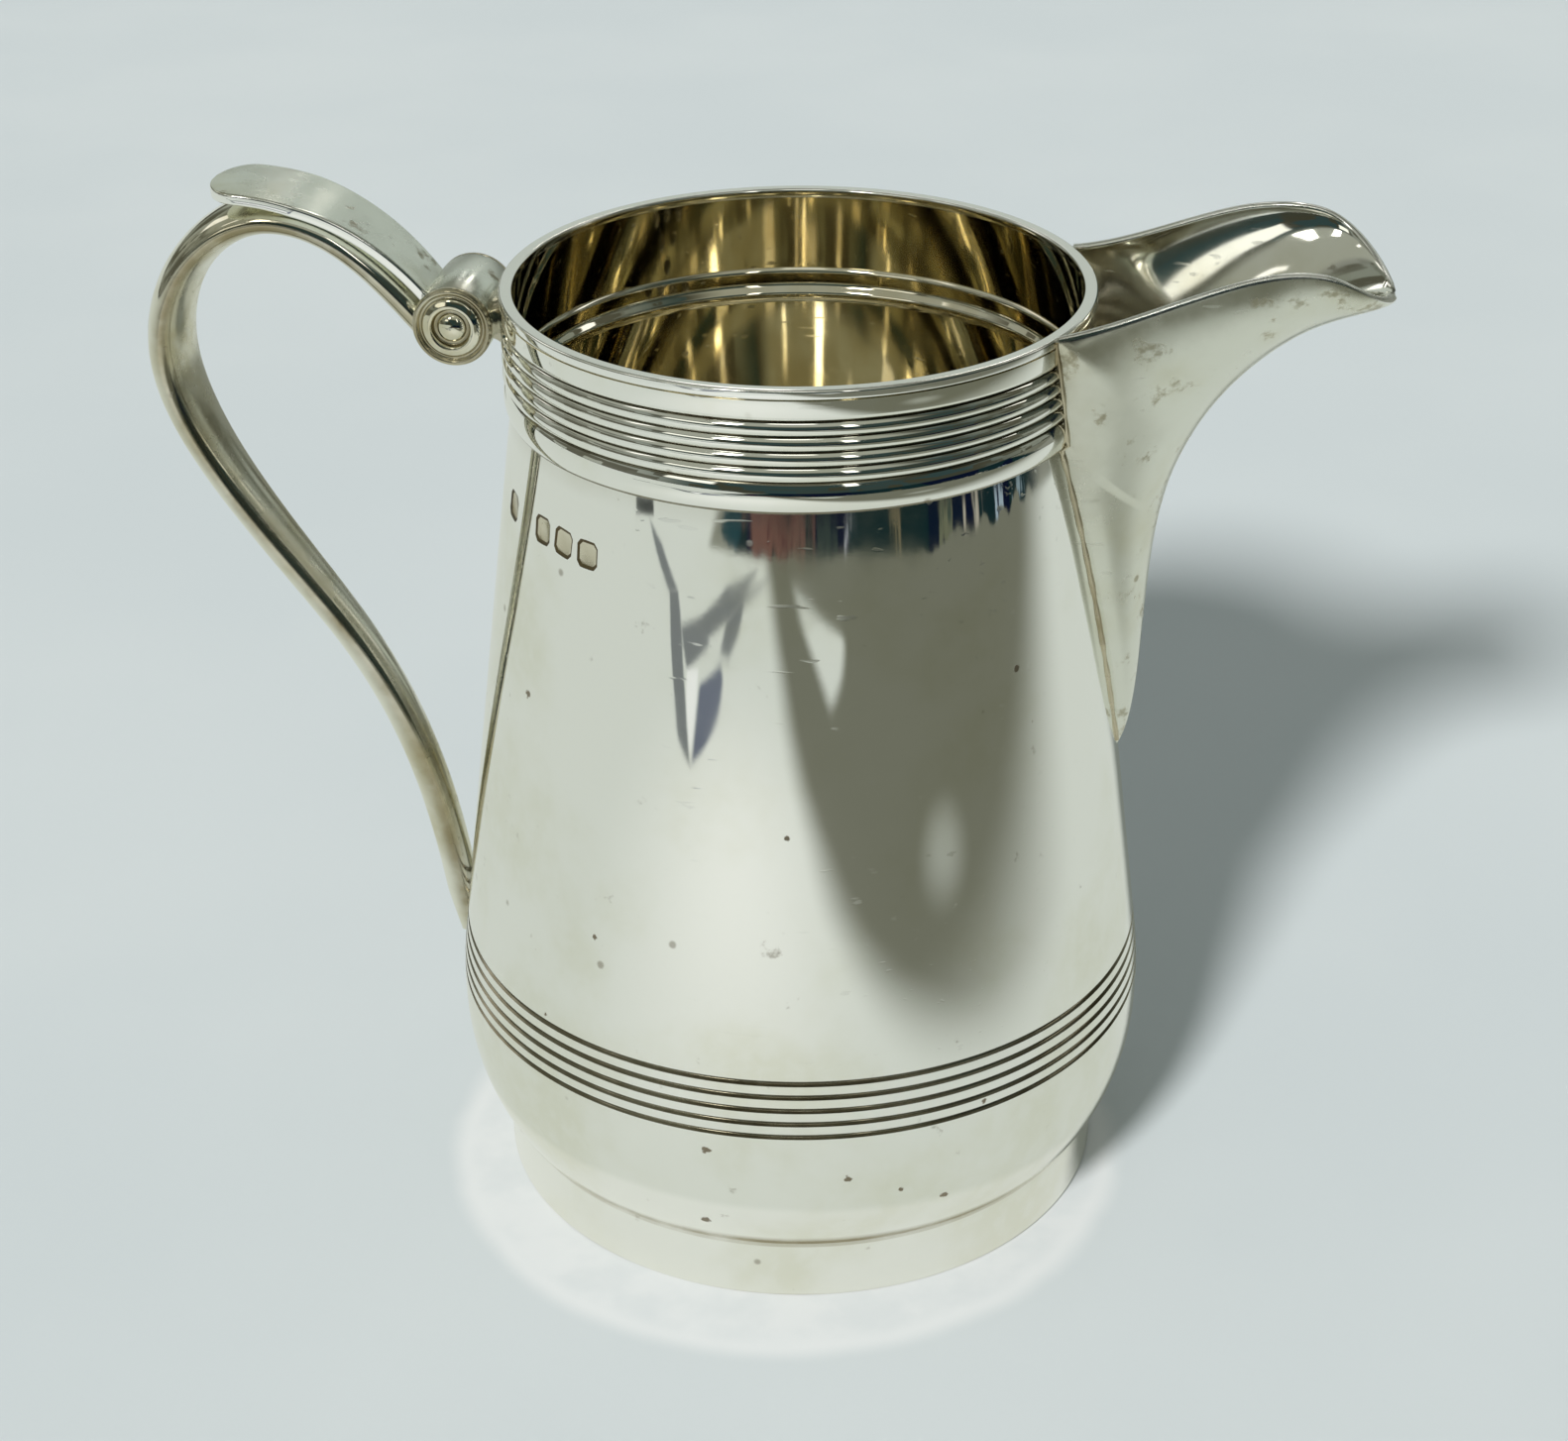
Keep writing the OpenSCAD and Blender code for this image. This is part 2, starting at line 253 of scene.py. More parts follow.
def silver(name, clean, tarnish, rough, tarnish_low, tarnish_high, tarnish_amount=0.8,
           speck_amount=0.5, brown=(0.16, 0.11, 0.05, 1), blotch_low=0.66, grain=0.012, speck_reflections=False):
    """Polished silver: clean metal, a warm tarnish in patches, brown specks and fine scratches."""
    material = bpy.data.materials.new(name)
    material.use_nodes = True
    tree = material.node_tree
    shader = tree.nodes["Principled BSDF"]
    shader.inputs["Metallic"].default_value = 1.0
    coords = node(tree, "ShaderNodeTexCoord").outputs["Object"]

    patches = ramp(tree, noise(tree, coords, PATCH_SCALE, 4), tarnish_low, tarnish_high)
    fine = noise(tree, coords, FINE_SCALE, 4)
    tarnished = times(tree, patches, tarnish_amount, ramp(tree, fine, 0.3, 0.6, 0.55, 1.0))
    color = mix_color(tree, tarnished, clean, tarnish)
    # The stain that each mesh carries: deep brown in corners, along joints and where no cloth reaches, and
    # painted contact shade along the foot's bottom edge
    stain_and_shade = node(tree, "ShaderNodeAttribute", attribute_name="stain_and_shade").outputs["Fac"]
    uneven = plus(tree, noise(tree, coords, STAIN_SCALE, 4, 0.6), noise(tree, coords, STAIN_DRIFT_SCALE, 2))
    stain_and_shade_depth = times(tree, stain_and_shade, ramp(tree, uneven, 0.7, 1.15, 0.45, 1.0))
    color = mix_color(tree, stain_and_shade_depth, color, STAIN_AND_SHADE)

    # Specks: a few cells of a cell pattern carry one small dark spot each
    cells = node(tree, "ShaderNodeTexVoronoi", {"Vector": coords, "Scale": SPECK_SCALE, "Randomness": 1.0})
    spot = ramp(tree, plus(tree, cells.outputs["Distance"], times(tree, fine, 0.12)), 0.12, 0.2, 1.0, 0.0)
    pick = node(tree, "ShaderNodeSeparateColor", {0: cells.outputs["Color"]}).outputs[0]
    chosen = ramp(tree, pick, 0.86, 0.9)
    blotches = ramp(tree, noise(tree, coords, BLOTCH_SCALE, 5, 0.65), blotch_low, blotch_low + 0.1)
    specks_and_painted_reflections = times(tree, math_node(tree, "MAXIMUM", times(tree, spot, chosen), blotches), speck_amount)
    if speck_reflections:
        # Painted reflections of the table's dark specks: small dark spots on the body, each with a ragged
        # outline, also sunk a little as pits
        ragged = times(tree, noise(tree, coords, RAGGED_SCALE, 2), 0.0011)
        for turn, z, size in SPECK_REFLECTIONS:
            r = body_r(z)
            spot_at = (r * math.cos(math.radians(turn)) * MM, r * math.sin(math.radians(turn)) * MM, z * MM)
            away = node(tree, "ShaderNodeVectorMath", {0: coords, 1: spot_at},
                        operation="DISTANCE").outputs["Value"]
            reflected_speck = ramp(tree, plus(tree, away, ragged), size * MM, (size + 0.2) * MM, 1.0, 0.0)
            specks_and_painted_reflections = math_node(tree, "MAXIMUM", specks_and_painted_reflections, times(tree, reflected_speck, 0.85))
    color = mix_color(tree, specks_and_painted_reflections, color, brown)
    tree.links.new(color, shader.inputs["Base Color"])

    # Fine scratches: thin lines out of stretched noise, in three directions
    lines = None
    for angles, threshold in SCRATCHES:
        stretched = rotated(tree, coords, angles, SCRATCH_SCALES)
        line = ramp(tree, noise(tree, stretched, 1.0, 2.0), threshold, threshold + 0.05)
        lines = line if lines is None else math_node(tree, "MAXIMUM", lines, line)
    smears = noise(tree, coords, SMEAR_SCALE, 5, 0.6)
    roughness = ramp(tree, smears, 0.35, 0.75, rough * 0.6, rough * 1.6)
    roughness = plus(tree, roughness, times(tree, tarnished, 0.03))
    roughness = plus(tree, roughness, times(tree, lines, 0.12))
    roughness = plus(tree, roughness, times(tree, stain_and_shade_depth, 0.2))
    roughness = math_node(tree, "ADD", roughness, times(tree, specks_and_painted_reflections, 0.35), clamp=True)
    tree.links.new(roughness, shader.inputs["Roughness"])

    # Height: the slow waves of hand-finished sheet, a fine grain, the scratches and the pits
    fine_grain = times(tree, noise(tree, coords, GRAIN_SCALE, 2), grain)
    height = plus(tree, noise(tree, coords, WAVE_SCALE, 1.0), fine_grain)
    height = minus(tree, height, times(tree, lines, 0.03))
    height = minus(tree, height, times(tree, specks_and_painted_reflections, 0.15))
    bump = node(tree, "ShaderNodeBump", {"Height": height, "Strength": 1.0, "Distance": BUMP_DISTANCE})
    tree.links.new(bump.outputs["Normal"], shader.inputs["Normal"])
    return material


# The body's silver also carries the painted reflections of the table's dark specks
SILVER = silver("silver_polished", (0.94, 0.94, 0.895, 1), (0.85, 0.845, 0.74, 1), 0.035, 0.42, 0.68, 0.9,
                speck_reflections=True)
GROOVE = silver("silver_groove", (0.34, 0.32, 0.25, 1), (0.16, 0.14, 0.09, 1), 0.14, 0.35, 0.6)
GILT = silver("silver_inside", (0.87, 0.84, 0.73, 1), (0.76, 0.70, 0.53, 1), 0.03, 0.38, 0.66, 0.85,
              speck_amount=0.25)
SPOUT_OUT = silver("silver_spout_side", (0.80, 0.81, 0.73, 1), (0.68, 0.66, 0.50, 1), 0.2, 0.42, 0.66,
                   0.8, speck_amount=0.6, blotch_low=0.575, brown=(0.36, 0.31, 0.18, 1))
SPOUT_IN = silver("silver_spout_inside", (0.90, 0.90, 0.84, 1), (0.72, 0.69, 0.54, 1), 0.09, 0.42, 0.7, 0.6)
HANDLE = silver("silver_handle", (0.90, 0.89, 0.80, 1), (0.60, 0.55, 0.37, 1), 0.06, 0.38, 0.64, 0.85)
HANDLE_DULL = silver("silver_handle_dull", (0.86, 0.86, 0.78, 1), (0.62, 0.57, 0.38, 1), 0.24, 0.38, 0.62,
                     0.85)
WORN = silver("silver_worn", (0.82, 0.85, 0.79, 1), (0.66, 0.65, 0.50, 1), 0.27, 0.42, 0.66, 0.8,
              speck_amount=0.7, blotch_low=0.585, brown=(0.30, 0.25, 0.15, 1))
EDGE = silver("silver_edge", (0.97, 0.97, 0.94, 1), (0.85, 0.83, 0.72, 1), 0.08, 0.55, 0.8, 0.5,
              speck_amount=0.2)
LIP = silver("silver_spout_lip", (0.98, 0.98, 0.95, 1), (0.88, 0.86, 0.76, 1), 0.26, 0.5, 0.75, 0.5,
             speck_amount=0.3)
SOLDER = silver("silver_solder", (0.62, 0.56, 0.42, 1), (0.34, 0.27, 0.15, 1), 0.3, 0.4, 0.6, 0.9)
STAMP = silver("silver_stamp", (0.13, 0.10, 0.055, 1), (0.07, 0.05, 0.025, 1), 0.42, 0.35, 0.6, 0.9)
STRUCK = silver("silver_struck", (0.74, 0.69, 0.55, 1), (0.42, 0.35, 0.21, 1), 0.22, 0.4, 0.6, 0.9,
                grain=0.6)


# ---- body ----

def groove_points(centre, depth, half, surface):
    """A rounded groove cut into a surface of radius surface(z), from below to above."""
    out = []
    for k in range(-6, 7):
        s = k / 6
        out.append((surface(centre + s * half) - depth * (1 - abs(s) ** 1.8), centre + s * half))
    return out


BODY_MATERIALS = [SILVER, GILT, GROOVE, STAMP, STRUCK]
LINE_HALF = 0.3  # half the width of a cut line
BASE_SEAT = 2  # width of the turned-in edge that the base disc rests in


def body_profile():
    """The body's closed outline and the material of each stretch: 0 outside, 1 inside, 2 groove."""
    points, kinds = [], []

    def add(point, kind):
        points.append(point)
        kinds.append(kind)

    lines = [LINE_TOP_Z - k * LINE_PITCH for k in range(LINES)][::-1]
    heights = [mix(BODY_LOW_Z, BELLY_Z, k / 30) for k in range(30)]
    heights += [mix(BELLY_Z, lines[0] - LINE_HALF, k / 6) for k in range(6)]
    for z in heights:
        add((body_r(z), z), 0)
    for i, centre in enumerate(lines):
        cut = groove_points(centre, LINE_DEPTH, LINE_HALF, body_r)
        for p in cut[:-1]:
            add(p, 2)
        add(cut[-1], 0)
        if i < LINES - 1:
            land = lines[i + 1] - LINE_HALF
            for k in (1, 2, 3):
                z = mix(cut[-1][1], land, k / 4)
                add((body_r(z), z), 0)
    top = lines[-1] + LINE_HALF
    for k in range(1, 30):
        z = mix(top, COLLAR_Z, k / 29)
        add((body_r(z), z), 0)
    kinds[-1] = 1
    add((COLLAR_IN_R - 0.5, COLLAR_Z), 1)
    for k in range(40):
        z = mix(COLLAR_Z - 0.4, BODY_LOW_Z + 1.2, k / 39)
        add((body_r(z) - WALL, z), 1)
    add((body_r(BODY_LOW_Z) - BASE_SEAT, BODY_LOW_Z + 0.4), 1)
    add((body_r(BODY_LOW_Z) - BASE_SEAT, BODY_LOW_Z), 0)
    return points, kinds


def cut_with(obj, cutters):
    """Cuts the cutters out of obj and bakes the result into its mesh."""
    group = bpy.data.collections.new(obj.name + "_cutters")
    for cutter in cutters:
        bpy.context.scene.collection.objects.unlink(cutter)
        group.objects.link(cutter)
    modifier = obj.modifiers.new("cut", "BOOLEAN")
    modifier.operation = "DIFFERENCE"
    modifier.operand_type = "COLLECTION"
    modifier.collection = group
    modifier.solver = "EXACT"
    bpy.context.view_layer.update()
    result = bpy.data.meshes.new_from_object(obj.evaluated_get(bpy.context.evaluated_depsgraph_get()))
    obj.modifiers.clear()
    obj.data = result
    for cutter in cutters:
        bpy.data.objects.remove(cutter)
    bpy.data.collections.remove(group)


def prism(name, outline, low, high, turn, height, wall_kind, floor_kind, flare=0.0, slope=0.0):
    """A prism over `outline` in (across, up), from radius low to high, facing the angle `turn`.

    It is narrower by the share `flare` at its inner end and wider at its outer end, and both ends
    lean by `slope`, the change of radius with height. Its wall and its inner end carry the body's
    material slots wall_kind and floor_kind.
    """
    n = len(outline)
    out = Matrix.Rotation(math.radians(turn), 3, "Z")
    verts = [tuple(out @ Vector((r + slope * v * grow, u * grow, height + v * grow)))
             for r, grow in ((low, 1 - flare), (high, 1 + flare)) for u, v in outline]
    faces = [tuple(range(n))[::-1], tuple(range(n, 2 * n))]
    faces += [(k, (k + 1) % n, n + (k + 1) % n, n + k) for k in range(n)]
    return make_object(name, verts, faces, BODY_MATERIALS, [floor_kind, 0] + [wall_kind] * n)


# How far a face's centre and a corner may lie off the turned surface, and the height that stays
# free of exact normals at the body's two ends
FACE_OFF, CORNER_OFF, END_LOW, END_HIGH = 0.02, 0.03, 1.3, 0.5


def true_normals(obj):
    """Gives the body's outer and inner faces the exact normals of the turned surface."""
    mesh = obj.data
    mesh.shade_smooth()
    mesh.set_sharp_from_angle(angle=math.radians(50))
    normals = [Vector(n.vector) for n in mesh.corner_normals]
    for polygon in mesh.polygons:
        c = polygon.center / MM
        r = math.hypot(c.x, c.y)
        if c.z < BODY_LOW_Z + END_LOW or c.z > COLLAR_Z - END_HIGH:
            continue
        if abs(r - body_r(c.z)) < FACE_OFF:
            side = 1
        elif abs(r - body_r(c.z) + WALL) < FACE_OFF:
            side = -1
        else:
            continue
        for loop in polygon.loop_indices:
            p = mesh.vertices[mesh.loops[loop].vertex_index].co / MM
            q = math.hypot(p.x, p.y)
            if abs(q - body_r(p.z) + (0 if side > 0 else WALL)) > CORNER_OFF:
                continue
            exact = Vector((p.x / q, p.y / q, -body_slope(p.z))).normalized()
            normals[loop] = exact * side
    mesh.normals_split_custom_set(normals)


# The strainer behind the spout: rows of round holes, one fewer in each lower row
HOLE_ROWS, HOLE_R, HOLE_PITCH, HOLE_TOP_Z, HOLE_DROP = 4, 1.2, 4, 84, 3.5
HOLE_REACH = (20, 35)  # how far from the axis a hole's cutter starts and ends
OCTAGON = [(-0.95, -1.4), (0.95, -1.4), (1.45, -0.9), (1.45, 0.9), (0.95, 1.4), (-0.95, 1.4),
           (-1.45, 0.9), (-1.45, -0.9)]
# Blank punched cartouches: angle round the jug, height, lean in degrees
STAMPS = [(-138.4, 79.6, 3), (-131.4, 79.6, -4), (-124.6, 79.5, 2), (-152.5, 79.3, -4)]
STAMP_DEPTH = 0.13
STAMP_FLARE = 0.24


def build_body():
    points, kinds = body_profile()
    verts, faces, face_material = lathe(points, indices=kinds)
    obj = make_object("jug_body", verts, faces, BODY_MATERIALS, face_material, 50,
                      lambda x, y, z: max(0.15 - abs(z - COLLAR_Z), 0.8 - (z - BODY_LOW_Z), 0))
    cutters = []
    for row in range(HOLE_ROWS):
        for k in range(HOLE_ROWS - row):
            y = (k - (HOLE_ROWS - 1 - row) / 2) * HOLE_PITCH
            ring = [(y + HOLE_R * math.cos(math.pi * a / 12), HOLE_R * math.sin(math.pi * a / 12))
                    for a in range(24)]
            cutters.append(prism("hole", ring, *HOLE_REACH, 0, HOLE_TOP_Z - row * HOLE_DROP, 1, 1))
    for turn, z, lean in STAMPS:
        c, s = math.cos(math.radians(lean)), math.sin(math.radians(lean))
        outline = [(a * c - b * s, a * s + b * c) for a, b in OCTAGON]
        cutters.append(prism("stamp", outline, body_r(z) - STAMP_DEPTH, body_r(z) + STAMP_DEPTH, turn, z,
                             3, 4, STAMP_FLARE, body_slope(z)))
    cut_with(obj, cutters)
    true_normals(obj)
    return obj


body = build_body()
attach(body, "root")
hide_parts("body_shell")


def build_turned(name, profile, materials, radius, node_name, indices=None, stain_and_shade=None):
    outline = round_corners(profile, radius) if radius else profile
    verts, faces, face_material = lathe(outline, indices=indices)
    obj = make_object(name, verts, faces, materials, face_material, stain_and_shade=stain_and_shade)
    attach(obj, "root")
    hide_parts(node_name)
    return obj


# ---- foot, base, neck ring, collar and rim ----

foot_profile = [(FOOT_R - FOOT_WALL, 0), (FOOT_R, 0), (FOOT_R, FOOT_H - 0.6), (FOOT_R + 0.3, FOOT_H),
                (FOOT_TURN_R - 0.4, FOOT_H + 0.8), (FOOT_TURN_R - 2.6, FOOT_H + 0.8),
                (FOOT_R - FOOT_WALL, FOOT_H - 0.8)]


def foot_stain_and_contact_shade(x, y, z):
    """Brown under the body and a little below the flare; at the very bottom, brown painted in as contact
    shade where the foot meets the table.
    """
    if z > FOOT_H - 0.1 or z < 0.15:
        return 0.9
    return 0.4 if z > FOOT_H - 0.75 else 0.0


build_turned("jug_foot", foot_profile, [SILVER], 0.3, "foot_ring", stain_and_shade=foot_stain_and_contact_shade)

BASE_STEPS = 24
base_edge = body_r(BASE_EDGE_Z) - WALL - 0.1
base_curve = [(base_edge * k / BASE_STEPS, BASE_EDGE_Z + BASE_RISE * (1 - (k / BASE_STEPS) ** 2))
              for k in range(1, BASE_STEPS + 1)]
base_low = [(AXIS_R, BASE_EDGE_Z + BASE_RISE)] + base_curve
base_profile = base_low + [(r, z + WALL) for r, z in base_low[::-1]]
build_turned("jug_base", base_profile, [GILT, SILVER], 0, "base_disc",
             indices=[1] * (BASE_STEPS + 1) + [0] * (BASE_STEPS + 1))

neck_profile = [(COLLAR_IN_R, 90.2), (27.55, 89.8), (27.4, 88.3), (26.85, 87.6), (26.8, 87.1),
                (27.1, 86.75), (COLLAR_IN_R, 86.75)]
build_turned("jug_neck_ring", neck_profile, [GILT], 0.3, "neck_ring")


REED_STEPS = 20


def collar_profile():
    """Five grooves with rounded reeds between them: 0 reed, 1 inside, 2 groove."""
    grooves = [REED_TOP_Z - k * REED_PITCH for k in range(REEDS)][::-1]
    bounds = [COLLAR_Z] + grooves
    points, kinds = [], []
    for low, high in zip(bounds, bounds[1:]):
        for k in range(REED_STEPS):
            t = 0.5 - 0.5 * math.cos(math.pi * k / REED_STEPS)
            rise = math.sin(math.pi * t) ** 0.7 if t > 0 else 0
            points.append((COLLAR_R - REED_DEPTH + REED_DEPTH * rise, mix(low, high, t)))
            kinds.append(2 if rise < 0.3 else 0)
    points += [(COLLAR_R - REED_DEPTH, REED_TOP_Z), (COLLAR_R - 0.12, REED_TOP_Z + 0.25),
               (COLLAR_R, REED_TOP_Z + 0.6), (COLLAR_R, RIM_LOW_Z), (COLLAR_IN_R, RIM_LOW_Z),
               (COLLAR_IN_R, COLLAR_Z)]
    kinds += [2, 0, 0, 1, 1, 1]
    return points, kinds


collar_points, collar_kinds = collar_profile()
build_turned("jug_collar", collar_points, [SILVER, GILT, GROOVE], 0, "neck_collar",
             indices=collar_kinds)

RIM_CHAMFER = 0.15
rim_profile = [(RIM_IN_R, RIM_LOW_Z), (COLLAR_R, RIM_LOW_Z), (COLLAR_R, RIM_Z - RIM_CHAMFER),
               (COLLAR_R - RIM_CHAMFER, RIM_Z), (RIM_IN_R + RIM_CHAMFER, RIM_Z),
               (RIM_IN_R, RIM_Z - RIM_CHAMFER)]
build_turned("jug_rim", rim_profile, [EDGE], 0.35, "rim_wire")

# ---- spout ----

KEEL_LOW = [(33, 49.5), (35.8, 54), (34.4, 68.5), (36.3, 77.5)]
KEEL_HIGH = [(36.3, 77.5), (38.3, 88), (46.5, 97.6), (57, 99.6)]
ROOT_LOW_Z, ROOT_HALF_W = 49.5, 13.4
EDGE_BACK = [(25.72, ROOT_HALF_W, RIM_Z), (33, 12, 99.8), (41, 12.2, 105), (48, 10.4, 105)]
EDGE_FRONT = [(48, 10.4, 105), (52, 10.6, 105), (56.2, 9, 100.6), (57, 0, 99.6)]
CLIMB, CREST, SECTION_POWER, SPOUT_WALL = 0.65, 0.85, 1.75, 0.9
SPOUT_ENDS = (0.01, 0.994)
ROOT_STAIN_X = 29.5  # how far along the spout the brown of its root reaches at the rim


def backing_r(z):
    return body_r(z) if z < COLLAR_Z else COLLAR_R


def keel(v):
    x, z = bezier(KEEL_LOW, v / 0.5) if v < 0.5 else bezier(KEEL_HIGH, (v - 0.5) / 0.5)
    return Vector((x, 0, z))


def edge_line(v):
    """The spout's edge: up its joint with the body, then out along its lip to the tip."""
    if v < CLIMB:
        z, w = mix(ROOT_LOW_Z, RIM_Z, v / CLIMB), ROOT_HALF_W * v / CLIMB
        return Vector((math.sqrt(backing_r(z) ** 2 - w * w), w, z))
    if v < CREST:
        return Vector(bezier(EDGE_BACK, (v - CLIMB) / (CREST - CLIMB)))
    return Vector(bezier(EDGE_FRONT, (v - CREST) / (1 - CREST)))


EDGE_SAMPLES = 6  # on each side
CREST_REACH, TOP_REACH = 0.03, 0.06


def border(v, u=1):
    """The edge as the section at v takes it: its corner at the crest is rounded, and the corner at
    the top of the joint fades towards the keel, so that it leaves no crease across the sheet."""
    reach = CREST_REACH * max(0, 1 - ((v - CREST) / (2 * CREST_REACH)) ** 2)
    reach += TOP_REACH * max(0, 1 - ((v - CLIMB) / (2 * TOP_REACH)) ** 2) * (1 - u)
    if reach == 0:
        return edge_line(v)
    near = [edge_line(v + reach * k / EDGE_SAMPLES) for k in range(-EDGE_SAMPLES, EDGE_SAMPLES + 1)]
    return sum(near, Vector((0, 0, 0))) / len(near)


def spout_point(v, u):
    a, b = keel(v), border(v, min(abs(u), 1))
    turn = math.pi / 2 * abs(u)
    across = math.sin(turn) ** (2 / SECTION_POWER)
    back = 1 - max(math.cos(turn), 0) ** (2 / SECTION_POWER)
    side = -1 if u < 0 else 1
    return Vector((mix(a.x, b.x, back), side * b.y * across, mix(a.z, b.z, back)))


def spout_sheet(v):
    return min(SPOUT_WALL, border(v).y / 2)


def spout_inside(v, u):
    d, k = 0.004, u * 0.985
    along = spout_point(min(v + d, 1), k) - spout_point(max(v - d, 0), k)
    across = spout_point(v, k + d) - spout_point(v, k - d)
    q = spout_point(v, u) - spout_sheet(v) * across.cross(along).normalized()
    r = math.hypot(q.x, q.y)
    soldered = q.z < RIM_Z and (r < backing_r(q.z) or (abs(u) == 1 and v < CLIMB))
    grow = backing_r(q.z) / r if soldered else 1
    return Vector((q.x * grow, q.y * grow, q.z))


def joint_stain(p):
    """Tarnish on the spout's outside, close to its joint with the body."""
    near = max(0.0, 1 - (math.hypot(p.x, p.y) - backing_r(min(p.z, RIM_Z))) / 8)
    return 0.35 * near * min(max((p.z - 70) / 18, 0.1), 1)


def root_stain(p):
    """Brown low inside the spout's root, where no cloth reaches."""
    return 0.95 * min(max((ROOT_STAIN_X - p.x - 1.6 * (p.z - RIM_Z)) / 1.2, 0), 1)


def build_spout():
    n, m = 150, 36  # stations along the spout and points across each half of it
    rings, stain_and_shade = [], []
    for i in range(n + 1):
        v = mix(*SPOUT_ENDS, i / n)
        outside = [spout_point(v, j / m) for j in range(m, -m - 1, -1)]
        inside = [spout_inside(v, j / m) for j in range(-m, m + 1)]

        def lip(a, b, inner):
            # The open edge is rounded: a half round between the two faces
            centre, half = (a + b) / 2, (a - b).length / 2
            lift = (a - inner).normalized()
            return [centre + (a - centre) * math.cos(t) + lift * half * 0.55 * math.sin(t)
                    for t in (math.pi * k / 6 for k in range(1, 6))]

        if v > CLIMB:
            near = lip(outside[-1], inside[0], outside[-3])
            far = lip(outside[0], inside[-1], outside[2])[::-1]
        else:
            near = [mix(outside[-1], inside[0], k / 6) for k in range(1, 6)]
            far = [mix(inside[-1], outside[0], k / 6) for k in range(1, 6)]
        rings.append([tuple(p) for p in outside + near + inside + far])
        stain_and_shade += [joint_stain(p) for p in outside + near]
        stain_and_shade += [root_stain(p) for p in inside] + [0.0] * len(far)
    per_ring = [0] * (2 * m) + [2] * 6 + [1] * (2 * m) + [2] * 6
    verts, faces = skin_rings(rings)
    kinds = per_ring * n + [2, 2]
    return make_object("jug_spout", verts, faces, [SPOUT_OUT, SPOUT_IN, LIP], kinds, 45, stain_and_shade)


spout = build_spout()
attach(spout, "root")
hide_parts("spout")


TUBE_SIDES = 10


def tube(name, path, radii, material):
    """A thin bead of solder along a path."""
    rings = []
    for i, p in enumerate(path):
        a, b = path[max(i - 1, 0)], path[min(i + 1, len(path) - 1)]
        along = (b - a).normalized()
        side = along.cross(Vector((0.3, 0.2, 1))).normalized()
        up = side.cross(along)
        rings.append([tuple(p + radii[i] * (side * math.cos(t) + up * math.sin(t)))
                      for t in (2 * math.pi * k / TUBE_SIDES for k in range(TUBE_SIDES))])
    verts, faces = skin_rings(rings)
    return make_object(name, verts, faces, [material], None, 60)


BEAD_POINTS, BEAD_R, BEAD_OUT = 90, 0.24, 0.05


def build_spout_solder():
    made = []
    radii = [BEAD_R + 0.08 * math.sin(i * 0.7) * math.sin(i * 0.23) for i in range(BEAD_POINTS)]
    for label, side in (("near", -1), ("far", 1)):
        path = []
        for i in range(BEAD_POINTS):
            p = border(mix(0.012, CLIMB - 0.004, i / (BEAD_POINTS - 1)))
            path.append(Vector((p.x + BEAD_OUT, side * (p.y + BEAD_OUT), p.z)))
        made.append(tube("jug_spout_solder_" + label, path, radii, SOLDER))
    return made


for bead in build_spout_solder():
    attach(bead, "root")

# ---- handle ----

HANDLE_PARTS = [
    ([(-35.5, 91.4), (-40, 96.5), (-44.7, 103.4), (-52, 103.4)], (1.85, 1.75), (3.2, 4.3), 1),
    ([(-52, 103.4), (-57.3, 103.4), (-64, 97.8), (-64, 89)], (1.75, 2.0), (4.3, 4.9), 1),
    ([(-64, 89), (-64, 78.6), (-52.6, 66), (-47.1, 56.9)], (2.0, 1.85), (4.9, 2.4), 1.3),
    ([(-47.1, 56.9), (-42.4, 49.1), (-39.3, 40.2), (-37.6, 27)], (1.85, 1.8), (2.4, 1.5), 1),
    ([(-37.6, 27), (-37.4, 25), (-37.2, 23), (-37, 21.2)], (1.8, 1.0), (1.5, 0.4), 1)]
HANDLE_REACH = 10  # stations on each side over which the section is evened out
BROWN_FLANK = 76  # degrees from the middle of the inner side to the brown on each flank
BROWN_SPREAD = (22, 36)  # how wide the brown lies, in degrees, at the top and at the foot


DULL_HALF = BROWN_FLANK - 22  # half the width in degrees of the dull inner side


def build_handle():
    steps, sides = 40, 48
    stations = []
    for curve, thick, wide, power in HANDLE_PARTS:
        for k in range(steps):
            t = k / steps
            stations.append([curve, t, mix(*thick, t), mix(wide[1], wide[0], (1 - t) ** power)])
    stations.append([HANDLE_PARTS[-1][0], 1, 1.0, 0.4])
    rings, stain_and_shade = [], []
    for i, (curve, t, _, _) in enumerate(stations):
        span = min(HANDLE_REACH, i, len(stations) - 1 - i)
        near = stations[i - span:i + span + 1]
        half_t = sum(s[2] for s in near) / len(near)
        half_w = sum(s[3] for s in near) / len(near)
        x, z = bezier(curve, t)
        dx, dz = bezier_slope(curve, t)
        length = math.hypot(dx, dz)
        dx, dz = dx / length, dz / length
        rings.append([(x - dz * half_t * math.cos(a), half_w * math.sin(a), z + dx * half_t * math.cos(a))
                      for a in (2 * math.pi * j / sides for j in range(sides))])
        # Brown lies along both flanks, beside the inner side that fingers rub dull
        for j in range(sides):
            off = 180 - abs(360 * j / sides - 180) - BROWN_FLANK
            stain_and_shade.append(0.9 * math.exp(-(off / mix(*BROWN_SPREAD, i / (len(stations) - 1))) ** 2))
    verts, faces = skin_rings(rings)
    turns = [180 - abs(360 * (j + 0.5) / sides - 180) for j in range(sides)]
    kinds = [1 if turn < DULL_HALF else 0 for turn in turns] * (len(rings) - 1) + [0, 0]
    return make_object("jug_handle", verts, faces, [HANDLE, HANDLE_DULL], kinds, 60, stain_and_shade)


handle = build_handle()
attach(handle, "root")
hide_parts("handle_scroll")

